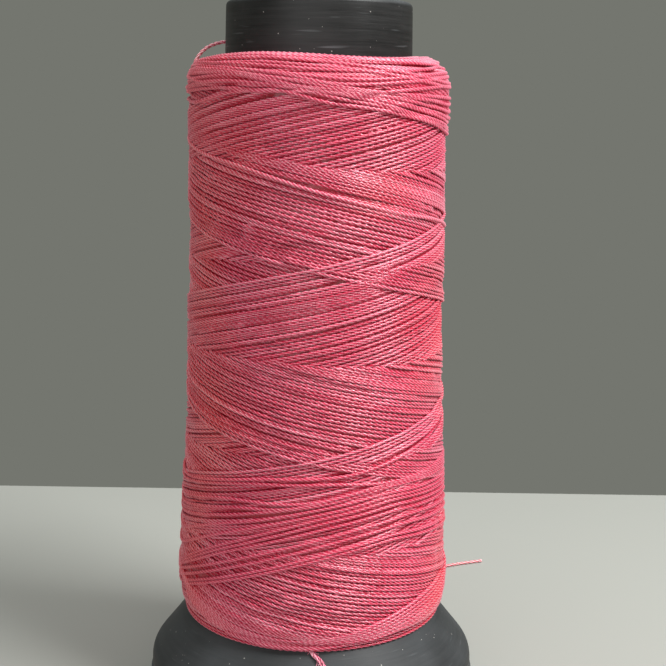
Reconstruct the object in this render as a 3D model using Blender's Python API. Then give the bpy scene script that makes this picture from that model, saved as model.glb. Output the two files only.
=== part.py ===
"""A small thread spool: a tapered barrel moulded in one with its bell foot, a snap base that slides
down to open the thread catch, and a cross-wound package of waxed thread with both its loose ends.

Metres, +Z up. The origin is on the spool's axis, at the surface that the snap base stands on.
"""
import math

import bmesh
import bpy
from mathutils import Vector, kdtree

# Barrel and its bell foot
SPOOL_HEIGHT = 0.1005
BARREL_TOP_RADIUS = 0.0130
BARREL_TAPER = math.radians(1.0)
BARREL_WALL = 0.0016
LIP_RADIUS = 0.0007
TOP_WEB_DEPTH = 0.0030
TOP_WEB_THICKNESS = 0.0016
SPINDLE_HOLE_RADIUS = 0.0050
BELL_RADIUS = 0.0241
BELL_SLOPE = math.radians(51.5)
BELL_WALL = 0.0016
BELL_SHOULDER_RADIUS = 0.0030
BELL_SKIRT_HEIGHT = 0.00145

# Snap base
BASE_RIM_HEIGHT = 0.0029
BASE_RIM_OVERHANG = 0.00025
BASE_EDGE = 0.0004
BASE_PLATE_THICKNESS = 0.0016
FOOT_RING_WIDTH = 0.0028
SLEEVE_HEIGHT = 0.0220
SLEEVE_WALL = 0.0014
SNAP_BEAD_HEIGHT = 0.0005
SNAP_BEAD_LENGTH = 0.0012
SNAP_GROOVE_DEPTH = 0.0008
SNAP_TRAVEL = 0.0030
FINGER_SLOT_WIDTH = 0.0016
FINGER_LENGTH = 0.0130

# Thread package
PACKAGE_TOP = 0.0930
PACKAGE_BUILD = 0.00479
PACKAGE_WAIST_HEIGHT = 0.0800
PACKAGE_SWELL = 0.0017
PACKAGE_SWELL_HEIGHT = 0.0190
BAND_WIDTH = 0.0046
BAND_THICKNESS = 0.00115
BAND_LAYER_GAP = 0.00085
BAND_TOP = 0.0912
BAND_BOTTOM = 0.0158
TRAVERSE_TURNS = 2.875
TRAVERSES = 8
REVERSAL_TURN = 0.17
WINDING_START_ANGLE = math.radians(185.0)

# Loose ends of the thread
THREAD_DIAMETER = 0.00055
CORD_POINTS = 78
TAIL_POINTS = 14

# Clearances and facets
SEAT_GAP = 0.0003
CORE_GAP = 0.00045
TURNED_FACETS = 48
ARC_FACETS = 4
POINTS_PER_TURN = 24
BAND_SIDES = 6

# The running end: off the last turn at the top left shoulder, round the back of the barrel, down the
# back of the package, over the bell and along the surface to its cut end. Millimetres.
RUNNING_END_ROUTE = [
    (-17.6, -0.9, 88.9), (-18.0, 1.0, 90.0), (-17.7, 2.6, 92.2), (-16.6, 4.4, 94.0),
    (-14.9, 6.2, 95.0), (-12.4, 8.0, 95.5), (-9.4, 10.4, 95.6), (-5.2, 12.8, 95.5),
    (-0.6, 13.9, 95.3), (3.0, 14.7, 94.9), (5.4, 16.1, 94.2), (6.6, 17.5, 92.0),
    (6.9, 17.9, 88.0), (6.8, 17.8, 80.0), (6.6, 17.7, 68.0), (6.6, 17.9, 56.0),
    (6.5, 18.3, 44.0), (6.5, 18.9, 32.0), (6.5, 19.5, 21.0), (6.5, 19.7, 14.5),
    (6.7, 20.9, 10.2), (7.0, 22.8, 7.4), (7.3, 24.2, 4.6), (8.0, 26.4, 1.6),
    (9.4, 29.6, 0.5), (11.8, 34.0, 0.32), (15.6, 38.8, 0.32), (20.4, 43.2, 0.32),
    (26.0, 46.8, 0.32), (31.8, 49.2, 0.32),
]

# The start of the thread: out from under the package and a little way down the bell, as the distance
# out from the side of the package's core and the angle from straight ahead.
START_TAIL_OUT = (0.0006, 0.0018, 0.0029, 0.0038, 0.0048)
START_TAIL_ANGLES = (-0.075, -0.040, 0.022, 0.088, 0.112)
START_TAIL_LIFT = 0.00032


def barrel_radius(z):
    """Outer radius of the tapered barrel at a height."""
    return BARREL_TOP_RADIUS + (SPOOL_HEIGHT - z) * math.tan(BARREL_TAPER)


def bore_radius(z):
    """Inner radius of the barrel at a height."""
    return barrel_radius(z) - BARREL_WALL


BELL_FOOT = BASE_RIM_HEIGHT + SEAT_GAP
BELL_ARC_HEIGHT = BELL_FOOT + BELL_SKIRT_HEIGHT
BELL_ARC_CENTRE = BELL_RADIUS - BELL_SHOULDER_RADIUS
BELL_NORMAL = math.radians(90) - BELL_SLOPE


def bell_height(radius, inset=0.0):
    """Height of the bell's cone at a radius, on a surface sunk by inset along its normal."""
    shoulder = BELL_SHOULDER_RADIUS - inset
    edge_radius = BELL_ARC_CENTRE + shoulder * math.cos(BELL_NORMAL)
    edge_height = BELL_ARC_HEIGHT + shoulder * math.sin(BELL_NORMAL)
    return edge_height + (edge_radius - radius) * math.tan(BELL_SLOPE)


def bell_meets_barrel(inset=0.0):
    """Height at which the bell's cone runs into the barrel's outer face."""
    height = BELL_ARC_HEIGHT
    for _ in range(40):
        height = bell_height(barrel_radius(height), inset)
    return height


def package_radius(z):
    """Outer radius of the thread package: straight above its waist, swelling below it."""
    drop = max(0.0, PACKAGE_WAIST_HEIGHT - z) / (PACKAGE_WAIST_HEIGHT - PACKAGE_SWELL_HEIGHT)
    return barrel_radius(PACKAGE_WAIST_HEIGHT) + PACKAGE_BUILD + PACKAGE_SWELL * min(drop, 1.0) ** 2


def band_radius(z, level):
    """Centre of the wound band: level 0 is the lower layer and level 1 the outer one."""
    outer = package_radius(z) - BAND_THICKNESS / 2
    return outer - (1.0 - level) * (BAND_THICKNESS + BAND_LAYER_GAP)


def core_radius(z):
    """Outer radius of the plain core under both layers of the band."""
    return band_radius(z, 0.0) - BAND_THICKNESS / 2 - CORE_GAP


def arc(centre_r, centre_z, radius, start, end):
    """Points of a profile's arc, from one angle to another."""
    steps = range(ARC_FACETS + 1)
    angles = [start + (end - start) * step / ARC_FACETS for step in steps]
    return [(centre_r + radius * math.cos(a), centre_z + radius * math.sin(a)) for a in angles]


def plastic(name, colour, roughness):
    """A plain material with the colour and roughness of one piece."""
    material = bpy.data.materials.new(name)
    material.use_nodes = True
    shader = material.node_tree.nodes["Principled BSDF"]
    shader.inputs["Base Color"].default_value = (*colour, 1.0)
    shader.inputs["Roughness"].default_value = roughness
    shader.inputs["Metallic"].default_value = 0.0
    return material


def mesh_object(name, form, material):
    """Link a finished bmesh into the scene as one named piece."""
    bmesh.ops.recalc_face_normals(form, faces=form.faces)
    mesh = bpy.data.meshes.new(name)
    form.to_mesh(mesh)
    form.free()
    mesh.materials.append(material)
    mesh.shade_smooth()
    mesh.set_sharp_from_angle(angle=math.radians(35))
    piece = bpy.data.objects.new(name, mesh)
    bpy.context.collection.objects.link(piece)
    return piece


def turned(name, profile, material):
    """Spin a closed profile of (radius, height) points about the spool's axis."""
    form = bmesh.new()
    corners = [form.verts.new((radius, 0.0, height)) for radius, height in profile]
    edges = [form.edges.new((a, b)) for a, b in zip(corners, corners[1:] + corners[:1])]
    bmesh.ops.spin(form, geom=corners + edges, cent=(0, 0, 0), axis=(0, 0, 1),
                   angle=math.tau, steps=TURNED_FACETS, use_merge=True)
    return mesh_object(name, form, material)


def cutter_box(name, size, centre):
    """A hidden box that a Boolean takes away."""
    form = bmesh.new()
    bmesh.ops.create_cube(form, size=1.0)
    bmesh.ops.scale(form, vec=size, verts=form.verts)
    bmesh.ops.translate(form, vec=centre, verts=form.verts)
    mesh = bpy.data.meshes.new(name)
    form.to_mesh(mesh)
    form.free()
    box = bpy.data.objects.new(name, mesh)
    bpy.context.collection.objects.link(box)
    box.hide_render = True
    box.display_type = "WIRE"
    return box


def cut(piece, cutter):
    """Take one cutter out of a piece."""
    boolean = piece.modifiers.new(cutter.name, "BOOLEAN")
    boolean.operation = "DIFFERENCE"
    boolean.solver = "EXACT"
    boolean.object = cutter


def bead_top():
    """Height of the top of the snap bead, below the sleeve's lead-in chamfer."""
    return SLEEVE_HEIGHT - SNAP_BEAD_HEIGHT - BASE_EDGE


def sleeve_radius():
    """Outer radius of the sleeve, free in the narrowest bore that it reaches."""
    return bore_radius(SLEEVE_HEIGHT) - SEAT_GAP


def spool_body(material):
    """Barrel, top web and bell foot in one turned moulding, open underneath."""
    web_top = SPOOL_HEIGHT - TOP_WEB_DEPTH
    web_under = web_top - TOP_WEB_THICKNESS
    lip_top = SPOOL_HEIGHT - LIP_RADIUS
    lip_outer = BARREL_TOP_RADIUS - LIP_RADIUS
    lip_inner = BARREL_TOP_RADIUS - BARREL_WALL
    groove_top = bead_top() + SEAT_GAP
    groove_foot = bead_top() - SNAP_BEAD_LENGTH - SNAP_TRAVEL - SEAT_GAP
    groove_radius = bore_radius(groove_top) + SNAP_GROOVE_DEPTH
    stem_radius = barrel_radius(bell_meets_barrel(BELL_WALL))
    profile = arc(lip_outer, lip_top, LIP_RADIUS, math.radians(90), 0.0)
    joint_height = bell_meets_barrel()
    profile.append((barrel_radius(joint_height), joint_height))
    profile += arc(BELL_ARC_CENTRE, BELL_ARC_HEIGHT, BELL_SHOULDER_RADIUS, BELL_NORMAL, 0.0)
    profile.append((BELL_RADIUS, BELL_FOOT))
    profile.append((BELL_RADIUS - BELL_WALL, BELL_FOOT))
    profile += arc(BELL_ARC_CENTRE, BELL_ARC_HEIGHT, BELL_SHOULDER_RADIUS - BELL_WALL, 0.0, BELL_NORMAL)
    profile.append((stem_radius, bell_height(stem_radius, BELL_WALL)))
    profile.append((stem_radius, BELL_FOOT))
    profile.append((bore_radius(BELL_FOOT), BELL_FOOT))
    profile.append((bore_radius(groove_foot), groove_foot))
    profile.append((groove_radius, groove_foot + SNAP_GROOVE_DEPTH / 2))
    profile.append((groove_radius, groove_top))
    profile.append((bore_radius(groove_top), groove_top))
    profile.append((bore_radius(web_under), web_under))
    profile.append((SPINDLE_HOLE_RADIUS, web_under))
    profile.append((SPINDLE_HOLE_RADIUS, web_top))
    profile.append((lip_inner, web_top))
    profile.append((lip_inner, lip_top))
    return turned("spool_body", profile, material)


def snap_base(material):
    """Base plate with its rim and foot ring, and the split sleeve that snaps into the bore."""
    rim_radius = BELL_RADIUS + BASE_RIM_OVERHANG
    outer = sleeve_radius()
    inner = outer - SLEEVE_WALL
    bead = outer + SNAP_BEAD_HEIGHT
    bead_foot = bead_top() - SNAP_BEAD_LENGTH
    plate_under = BASE_RIM_HEIGHT - BASE_PLATE_THICKNESS
    foot_inner = rim_radius - BASE_EDGE - FOOT_RING_WIDTH
    profile = [
        (inner, SLEEVE_HEIGHT),
        (outer - BASE_EDGE, SLEEVE_HEIGHT),
        (bead, bead_top()),
        (bead, bead_foot + SNAP_BEAD_HEIGHT),
        (outer, bead_foot),
        (outer, BASE_RIM_HEIGHT),
        (rim_radius - BASE_EDGE, BASE_RIM_HEIGHT),
        (rim_radius, BASE_RIM_HEIGHT - BASE_EDGE),
        (rim_radius, BASE_EDGE),
        (rim_radius - BASE_EDGE, 0.0),
        (foot_inner, 0.0),
        (foot_inner - BASE_EDGE, plate_under),
        (inner, plate_under),
    ]
    base = turned("snap_base", profile, material)
    reach = 2 * (bead + SEAT_GAP)
    middle = SLEEVE_HEIGHT - FINGER_LENGTH / 2 + SEAT_GAP
    height = FINGER_LENGTH + 2 * SEAT_GAP
    for number, size in enumerate(((reach, FINGER_SLOT_WIDTH, height), (FINGER_SLOT_WIDTH, reach, height))):
        cut(base, cutter_box(f"finger_slot_{number}", size, (0.0, 0.0, middle)))
    return base


def thread_core(material):
    """The plain inner layers of the package, between the barrel, the bell and the wound band."""
    inset = -SEAT_GAP
    foot = bell_meets_barrel(inset)
    foot_radius = barrel_radius(foot) + SEAT_GAP
    side_foot = bell_height(core_radius(BAND_BOTTOM), inset)
    heights = [PACKAGE_TOP - BASE_EDGE, PACKAGE_WAIST_HEIGHT]
    sides = 6
    for step in range(1, sides):
        heights.append(PACKAGE_WAIST_HEIGHT + (side_foot - PACKAGE_WAIST_HEIGHT) * step / sides)
    profile = [(barrel_radius(PACKAGE_TOP) + SEAT_GAP, PACKAGE_TOP)]
    profile.append((core_radius(PACKAGE_TOP) - BASE_EDGE, PACKAGE_TOP))
    profile += [(core_radius(z), z) for z in heights]
    profile.append((core_radius(BAND_BOTTOM), side_foot))
    profile.append((foot_radius, bell_height(foot_radius, inset)))
    return turned("thread_core", profile, material)


def traverse_height(step):
    """Height of the wound band after so many traverses, with rounded reversals. 0 is at the top."""
    ease = REVERSAL_TURN / TRAVERSE_TURNS
    phase = step % 2.0
    share = phase if phase <= 1.0 else 2.0 - phase
    near = min(share, 1.0 - share)
    if near < ease:
        rounded = near * near / (2 * ease) + ease / 2
        share = rounded if share < 0.5 else 1.0 - rounded
    return BAND_TOP + (BAND_BOTTOM - BAND_TOP) * share


def traverse_level(step):
    """Layer of the band: the way down lies under the way up, and they change at the reversals."""
    reversal = round(step)
    if reversal in (0, TRAVERSES):
        return 0.0 if reversal == 0 else 1.0
    near = (step - reversal) * TRAVERSE_TURNS / REVERSAL_TURN
    near = max(-1.0, min(1.0, near))
    rise = 0.5 + 0.25 * near * (3.0 - near * near)
    return rise if reversal % 2 else 1.0 - rise


def winding_path():
    """Points of the band's centre line, with the outward direction at each."""
    count = round(TRAVERSES * TRAVERSE_TURNS * POINTS_PER_TURN)
    points = []
    for index in range(count + 1):
        step = TRAVERSES * index / count
        angle = WINDING_START_ANGLE - math.tau * TRAVERSE_TURNS * step
        height = traverse_height(step)
        radius = band_radius(height, traverse_level(step))
        outward = Vector((math.cos(angle), math.sin(angle), 0.0))
        points.append((outward * radius + Vector((0.0, 0.0, height)), outward))
    return points


def winding_rings(points):
    """The band's flat oval section at every point of its centre line."""
    rings = []
    for index, (place, outward) in enumerate(points):
        before = points[max(index - 1, 0)][0]
        after = points[min(index + 1, len(points) - 1)][0]
        across = (after - before).normalized().cross(outward)
        ring = []
        for side in range(BAND_SIDES):
            turn = math.tau * side / BAND_SIDES
            offset = across * (BAND_WIDTH / 2 * math.cos(turn)) + outward * (BAND_THICKNESS / 2 * math.sin(turn))
            ring.append(place + offset)
        rings.append(ring)
    return rings


def least_gap(rings):
    """Least distance between points of the band's surface that lie half a turn or more apart along it."""
    parts = 3
    samples = []
    for index, (ring, following) in enumerate(zip(rings, rings[1:])):
        for along in range(parts):
            here = [a.lerp(b, along / parts) for a, b in zip(ring, following)]
            for a, b in zip(here, here[1:] + here[:1]):
                samples += [(index, a.lerp(b, part / parts)) for part in range(parts)]
    tree = kdtree.KDTree(len(samples))
    for number, (_, place) in enumerate(samples):
        tree.insert(place, number)
    tree.balance()
    least = BAND_WIDTH
    for index, place in samples:
        for _, number, distance in tree.find_range(place, least):
            if abs(samples[number][0] - index) > POINTS_PER_TURN // 2:
                least = min(least, distance)
    return least


def thread_winding(material):
    """The outer turns as one unbroken cross-wound band of thread."""
    rings = winding_rings(winding_path())
    print(f"thread_winding: least gap to itself {least_gap(rings) * 1000:.2f} mm")
    form = bmesh.new()
    loops = [[form.verts.new(place) for place in ring] for ring in rings]
    for ring, following in zip(loops, loops[1:]):
        for side in range(BAND_SIDES):
            after = (side + 1) % BAND_SIDES
            form.faces.new((ring[side], ring[after], following[after], following[side]))
    form.faces.new(loops[0])
    form.faces.new(loops[-1])
    return mesh_object("thread_winding", form, material)


def smooth_route(route, count):
    """Evenly spaced points on a smooth curve through the route's own points."""
    ends = [route[0] * 2 - route[1]] + route + [route[-1] * 2 - route[-2]]
    fine = []
    parts = 24
    for p0, p1, p2, p3 in zip(ends, ends[1:], ends[2:], ends[3:]):
        for part in range(parts):
            t = part / parts
            fine.append(0.5 * (2 * p1 + (p2 - p0) * t + (2 * p0 - 5 * p1 + 4 * p2 - p3) * t * t
                               + (3 * p1 - p0 - 3 * p2 + p3) * t ** 3))
    fine.append(route[-1])
    lengths = [0.0]
    for a, b in zip(fine, fine[1:]):
        lengths.append(lengths[-1] + (b - a).length)
    points = []
    place = 0
    for index in range(count):
        target = lengths[-1] * index / (count - 1)
        while place < len(fine) - 2 and lengths[place + 1] < target:
            place += 1
        share = (target - lengths[place]) / (lengths[place + 1] - lengths[place])
        points.append(fine[place].lerp(fine[place + 1], min(share, 1.0)))
    print(f"route: {lengths[-1] * 1000:.1f} mm")
    return points


def thread_tube(name, points, material):
    """One thread as a round tube along its points."""
    curve = bpy.data.curves.new(name, "CURVE")
    curve.dimensions = "3D"
    curve.bevel_depth = THREAD_DIAMETER / 2
    curve.bevel_resolution = 2
    curve.use_fill_caps = True
    spline = curve.splines.new("POLY")
    spline.points.add(len(points) - 1)
    for point, place in zip(spline.points, points):
        point.co = (*place, 1.0)
    curve.materials.append(material)
    tube = bpy.data.objects.new(name, curve)
    bpy.context.collection.objects.link(tube)
    return tube


def running_end(material):
    """The free end that is unwound from the package."""
    route = [Vector(point) * 0.001 for point in RUNNING_END_ROUTE]
    return thread_tube("running_end", smooth_route(route, CORD_POINTS), material)


def start_tail(material):
    """The thread's first end, lying on the bell in front of the package."""
    route = []
    lift = START_TAIL_LIFT + THREAD_DIAMETER / 2
    for out, angle in zip(START_TAIL_OUT, START_TAIL_ANGLES):
        radius = core_radius(BAND_BOTTOM) + out
        height = bell_height(radius, -lift)
        route.append(Vector((radius * math.sin(angle), -radius * math.cos(angle), height)))
    return thread_tube("start_tail", smooth_route(route, TAIL_POINTS), material)


def main():
    for thing in list(bpy.data.objects):
        bpy.data.objects.remove(thing, do_unlink=True)
    black = plastic("moulded_black", (0.030, 0.030, 0.029), 0.45)
    grey_black = plastic("moulded_black_base", (0.036, 0.037, 0.038), 0.50)
    pink = plastic("waxed_thread", (0.62, 0.115, 0.19), 0.45)
    deep_pink = plastic("waxed_thread_inner", (0.44, 0.06, 0.11), 0.55)
    spool_body(black)
    snap_base(grey_black)
    thread_core(deep_pink)
    thread_winding(pink)
    running_end(pink)
    start_tail(pink)


main()
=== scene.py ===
"""Looks of the waxed thread spool: the mouldings, the cross-wound thread and its two loose ends.

Metres, +Z up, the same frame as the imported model. The photographed side faces -Y.
"""
import math

import bmesh
import bpy
import numpy as np
from mathutils import Matrix, Vector


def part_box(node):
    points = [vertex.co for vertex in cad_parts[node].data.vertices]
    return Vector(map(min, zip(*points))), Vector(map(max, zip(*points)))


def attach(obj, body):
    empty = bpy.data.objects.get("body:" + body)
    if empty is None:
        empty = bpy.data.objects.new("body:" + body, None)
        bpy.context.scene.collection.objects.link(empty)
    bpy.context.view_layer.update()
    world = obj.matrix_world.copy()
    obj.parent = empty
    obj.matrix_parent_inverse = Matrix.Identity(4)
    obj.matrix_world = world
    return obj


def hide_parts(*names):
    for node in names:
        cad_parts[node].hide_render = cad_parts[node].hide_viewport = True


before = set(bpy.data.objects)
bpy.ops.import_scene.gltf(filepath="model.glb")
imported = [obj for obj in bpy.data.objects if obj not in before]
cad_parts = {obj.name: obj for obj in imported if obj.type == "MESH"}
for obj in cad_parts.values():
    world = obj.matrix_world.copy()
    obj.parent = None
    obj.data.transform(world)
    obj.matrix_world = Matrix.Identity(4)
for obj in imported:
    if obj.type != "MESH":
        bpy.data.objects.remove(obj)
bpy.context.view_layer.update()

MM = 0.001

# Mouldings, from the frame
BODY_LOW, BODY_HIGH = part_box("spool_body")
BASE_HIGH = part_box("snap_base")[1]
CORE_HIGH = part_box("thread_core")[1]
SPOOL_TOP = BODY_HIGH.z
BELL_RADIUS = BODY_HIGH.x
BELL_FOOT = BODY_LOW.z
RIM_RADIUS = BASE_HIGH.x
SLEEVE_TOP = BASE_HIGH.z
RIM_GAP = 0.3 * MM
RIM_TOP = BELL_FOOT - RIM_GAP
PACKAGE_TOP = CORE_HIGH.z

# Mouldings, sizes that the boxes don't give
BARREL_TOP_RADIUS = 13.0 * MM
BARREL_TAPER = math.radians(1.0)
BARREL_WALL = 1.6 * MM
LIP_RADIUS = 0.7 * MM
WEB_DEPTH = 3.0 * MM
WEB_THICKNESS = 1.6 * MM
SPINDLE_HOLE_RADIUS = 5.0 * MM
BELL_SLOPE = math.radians(51.5)
BELL_SHOULDER = 3.0 * MM
BELL_SKIRT = 1.45 * MM
BELL_WALL = 1.6 * MM
EDGE_ROUND = 0.35 * MM
SLEEVE_RADIUS = 12.47 * MM
SLEEVE_WALL = 1.4 * MM
BEAD_HEIGHT = 0.5 * MM
PLATE_THICKNESS = 1.6 * MM
FOOT_RING = 2.8 * MM
SLOT_WIDTH = 1.6 * MM
FINGER_LENGTH = 13.0 * MM
TURNED_STEPS = 160
QUARTER = math.radians(90)
SHARP_ANGLE = math.radians(30)

# Thread package
WAIST_RADIUS = 18.15 * MM
WAIST_HEIGHT = 80.0 * MM
SWELL = 1.7 * MM
SWELL_HEIGHT = 19.0 * MM
SHOULDER_HEIGHT = 4.4 * MM
SHOULDER_INSET = 3.4 * MM
FOOT_INSET = 0.75 * MM
FOOT_HEIGHT = 12.3 * MM

# The thread and how it was wound
THREAD_WIDTH = 0.51 * MM
LAYER_HALF = 0.19 * MM
PLIES = 3
PLY_DEPTH = 0.26
TWIST_PITCH = 2.85 * MM
LOOSE_WIDTH = 0.57 * MM
LOOSE_TWIST_PITCH = 2.3 * MM
RINGS_PER_PITCH = 8
WOUND_SIDES = 2
LOOSE_SIDES = 3
TRAVERSE_TOP = 92.6 * MM
TRAVERSE_FOOT = 12.9 * MM
TURNS_THERE_AND_BACK = 6.018
THERE_AND_BACK = 84
REVERSAL_TURN = 0.10
LAST_REVERSAL = math.radians(-92.0)
END_WANDER = 0.8 * MM
FOOT_WANDER_SHARE = 0.4
TOP_WANDER_RATE = 0.17
FOOT_WANDER_RATE = 0.23
THREAD_WANDER = 0.05 * MM
WINDING_SEED = 7
PIECE_FACES = 80000

# Grid on which the threads are laid, with reaches in its cells
GRID_ANGLES = 720
GRID_STEP = 0.1 * MM
GRID_FOOT = 8.0 * MM
GRID_ROWS = 880
HALF_CELLS = 2
BRIDGE_CELLS = 4
LEVELLING_ROUNDS = 3
LEVEL_ALONG = 24
LEVEL_ACROSS = 10
GROUND_LAYERS = 4
FIRST_CEILING = 0.2
EASE_CELLS = 30
TUCK_CELLS = 40
TUCK_DEPTH = 0.7 * MM
SHOWN_CELLS = 25
POINT_EVERY = 4
FEWEST_POINTS = 6

# Inner layers under the outer threads
GAP_CELLS = 3
BED_ROWS = 5
BED_COLUMNS = 3
BED_DEPTH = 0.30 * MM
BED_TOP_SINK = 0.7
BED_FOOT_RISE = 0.8 * MM
BARREL_CLEAR = 0.25 * MM

# Colour of the thread: the depth at which a gap has its deepest painted shade, and how far to the right
# of the middle the colour is coolest
GAP_SHADE_DEPTH = 0.25 * MM
COOLEST_SHIFT = 4.0 * MM

# Turns that lie over the machine's winding, each as (degrees, millimetres) from right to left across
# the front. The thread goes round the back from one to the next.
SHOULDER_TURNS = [
    [(-14, 87.0), (-55, 87.6), (-85, 88.0), (-110, 88.3), (-131, 88.6), (-150, 88.4), (-172, 88.0)],
    [(-14, 87.6), (-55, 88.0), (-85, 88.5), (-110, 88.8), (-131, 89.1), (-150, 88.9), (-172, 88.5)],
    [(-24, 89.2), (-55, 88.4), (-71, 88.0), (-98, 88.2),
     (-120, 88.1), (-133, 88.5), (-146, 89.2), (-172, 90.2)],
    [(-20, 89.6), (-45, 90.5), (-59, 91.1), (-77, 91.7),
     (-99, 92.2), (-116, 92.5), (-135, 92.4), (-175, 92.0)],
    [(-20, 89.0), (-45, 89.9), (-59, 90.5), (-77, 91.1),
     (-99, 91.6), (-116, 91.9), (-135, 91.8), (-175, 91.4)],
    [(-15, 86.6), (-55, 88.0), (-71, 88.4), (-85, 89.1),
     (-98, 90.1), (-115, 90.7), (-136, 91.2), (-167, 91.6)],
    [(-12, 85.6), (-55, 87.4), (-71, 88.2), (-85, 88.8),
     (-105, 89.8), (-116, 90.2), (-130, 90.8), (-168, 91.3)],
    [(-10, 84.7), (-55, 86.9), (-71, 87.9), (-93, 88.9),
     (-101, 88.8), (-116, 89.8), (-130, 90.6), (-170, 91.0)],
    [(-8, 84.0), (-50, 86.5), (-71, 87.6), (-85, 88.2),
     (-104, 89.1), (-112, 89.7), (-122, 90.3), (-168, 90.7)],
    [(-6, 83.4), (-46, 85.5), (-71, 87.4), (-91, 88.4),
     (-99, 88.9), (-115, 90.2), (-127, 90.6), (-167, 90.4)],
    [(-5, 83.0), (-46, 85.2), (-59, 86.3), (-85, 87.5),
     (-95, 88.4), (-106, 89.0), (-131, 89.5), (-160, 89.0)],
    [(-4, 82.5), (-45, 85.0), (-67, 86.2), (-88, 86.8),
     (-97, 87.8), (-105, 88.5), (-131, 87.9), (-152, 86.4)],
    [(-12, 91.9), (-39, 91.2), (-49, 91.0), (-67, 90.8),
     (-85, 90.9), (-98, 91.1), (-122, 91.6), (-156, 91.9)],
    [(-8, 91.1), (-24, 90.9), (-55, 90.0), (-71, 89.7),
     (-81, 89.8), (-98, 90.3), (-121, 90.9), (-161, 91.0)],
    [(-8, 90.6), (-41, 89.8), (-71, 89.1), (-81, 89.1),
     (-98, 89.6), (-121, 90.3), (-150, 89.9), (-177, 88.9)],
]
LOW_TURNS = [
    [(-16, 42.2), (-44, 39.8), (-64, 38.2), (-76, 37.4), (-93, 37.1), (-111, 36.8), (-160, 33.8)],
    [(-8, 36.6), (-30, 36.4), (-57, 35.9), (-81, 36.5), (-116, 36.0), (-166, 32.9)],
    [(-8, 36.0), (-44, 36.1), (-64, 35.7), (-87, 33.9), (-99, 33.5), (-128, 33.3), (-168, 30.5)],
    [(-8, 35.4), (-50, 35.9), (-75, 34.9), (-98, 32.9), (-122, 32.3), (-166, 29.3)],
    [(-8, 34.9), (-55, 35.6), (-86, 33.6), (-110, 32.2), (-165, 28.0)],
    [(-8, 33.9), (-60, 34.6), (-90, 32.8), (-109, 31.2), (-133, 29.2), (-163, 25.6)],
    [(-8, 33.2), (-58, 34.1), (-88, 32.2), (-110, 30.3), (-135, 27.4), (-167, 22.8)],
    [(-8, 32.6), (-55, 33.6), (-87, 31.7), (-110, 29.2), (-136, 25.5), (-170, 19.6)],
    [(-8, 31.9), (-55, 32.8), (-86, 31.1), (-107, 28.8), (-132, 25.6), (-170, 19.3)],
    [(-8, 31.2), (-55, 32.0), (-84, 30.4), (-105, 28.3), (-128, 25.6), (-170, 19.0)],
    [(-5, 29.8), (-45, 31.0), (-72, 30.0), (-95, 28.0), (-118, 25.4), (-170, 18.5)],
    [(-8, 28.7), (-50, 29.9), (-76, 28.8), (-98, 26.7), (-122, 23.9), (-171, 17.4)],
    [(-8, 27.2), (-55, 28.6), (-80, 27.2), (-102, 25.0), (-127, 22.0), (-172, 16.4)],
    [(-8, 26.4), (-55, 28.0), (-80, 26.7), (-102, 24.5), (-127, 21.5), (-172, 15.9)],
]
FOOT_TURNS = 6
FOOT_TURN_FIRST = [(-8, 20.2), (-35, 18.5), (-50, 17.2), (-72, 15.2), (-92, 14.1),
                   (-111, 14.5), (-124, 15.3), (-135, 16.3), (-146, 17.7), (-170, 20.4)]
FOOT_TURN_LAST = [(-8, 16.2), (-33, 15.2), (-49, 14.4), (-71, 13.6), (-92, 13.0),
                  (-111, 13.2), (-124, 13.6), (-135, 14.3), (-146, 15.5), (-170, 18.2)]
FOOT_FILL_TURNS = 8
FOOT_FILL_FIRST = [(-8, 16.4), (-100, 16.0), (-200, 16.3), (-300, 16.1)]
FOOT_FILL_LAST = [(-8, 12.9), (-100, 12.7), (-200, 12.9), (-300, 12.8)]
SHOULDER_FILL_TURNS = 8
SHOULDER_FILL_HEIGHTS = (89.6, 92.4)
SHOULDER_FILL_ANGLES = (-10, -70, -130, -190, -250, -310)
SHOULDER_FILL_WANDER = 0.28
STRAY_TURN = [(75, 64.5), (-22, 71.0), (-56, 72.7), (-89, 75.4),
              (-123, 78.6), (-148, 79.9), (-235, 86.0)]
LOOSE_LAYERS = (1.6, 1.6, 1.6, 1.6, 2.8)

# Turns on the package's upper end. Start, step, sink and ripple are in widths of the loose thread, and
# the fall is a share of the shoulder's own drop.
END_FACE_TURNS = 7
END_FACE_POINTS = 180
END_FACE_START = 0.6
END_FACE_STEP = 0.8
END_FACE_SINK = 0.45
END_FACE_RIPPLE = 0.12
END_FACE_RIPPLE_RATE = 1.7
END_FACE_WAVE = 0.26 * MM
END_FACE_WAVES = 3
END_FACE_WAVE_AT = math.radians(3)
END_FACE_FALL = 0.8

# Loose ends, the points of their routes as in the solid model, in millimetres
THREAD_DIAMETER = 0.55 * MM
FIBRE_WIDTH = 0.06 * MM
RUNNING_END_ROUTE = [
    (-17.6, -0.9, 88.9), (-18.0, 1.0, 90.0), (-17.7, 2.6, 92.2), (-16.6, 4.4, 94.0),
    (-14.9, 6.2, 95.0), (-12.4, 8.0, 95.5), (-9.4, 10.4, 95.6), (-5.2, 12.8, 95.5),
    (-0.6, 13.9, 95.3), (3.0, 14.7, 94.9), (5.4, 16.1, 94.2), (6.6, 17.5, 92.0),
    (6.9, 17.9, 88.0), (6.8, 17.8, 80.0), (6.6, 17.7, 68.0), (6.6, 17.9, 56.0),
    (6.5, 18.3, 44.0), (6.5, 18.9, 32.0), (6.5, 19.5, 21.0), (6.5, 19.7, 14.5),
    (6.7, 20.9, 10.2), (7.0, 22.8, 7.4), (7.3, 24.2, 4.6), (8.0, 26.4, 1.6),
    (9.4, 29.6, 0.5), (11.8, 34.0, 0.32), (15.6, 38.8, 0.32), (20.4, 43.2, 0.32),
    (26.0, 46.8, 0.32), (31.8, 49.2, 0.32),
]
RUNNING_END_STEP = 0.6 * MM
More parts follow.
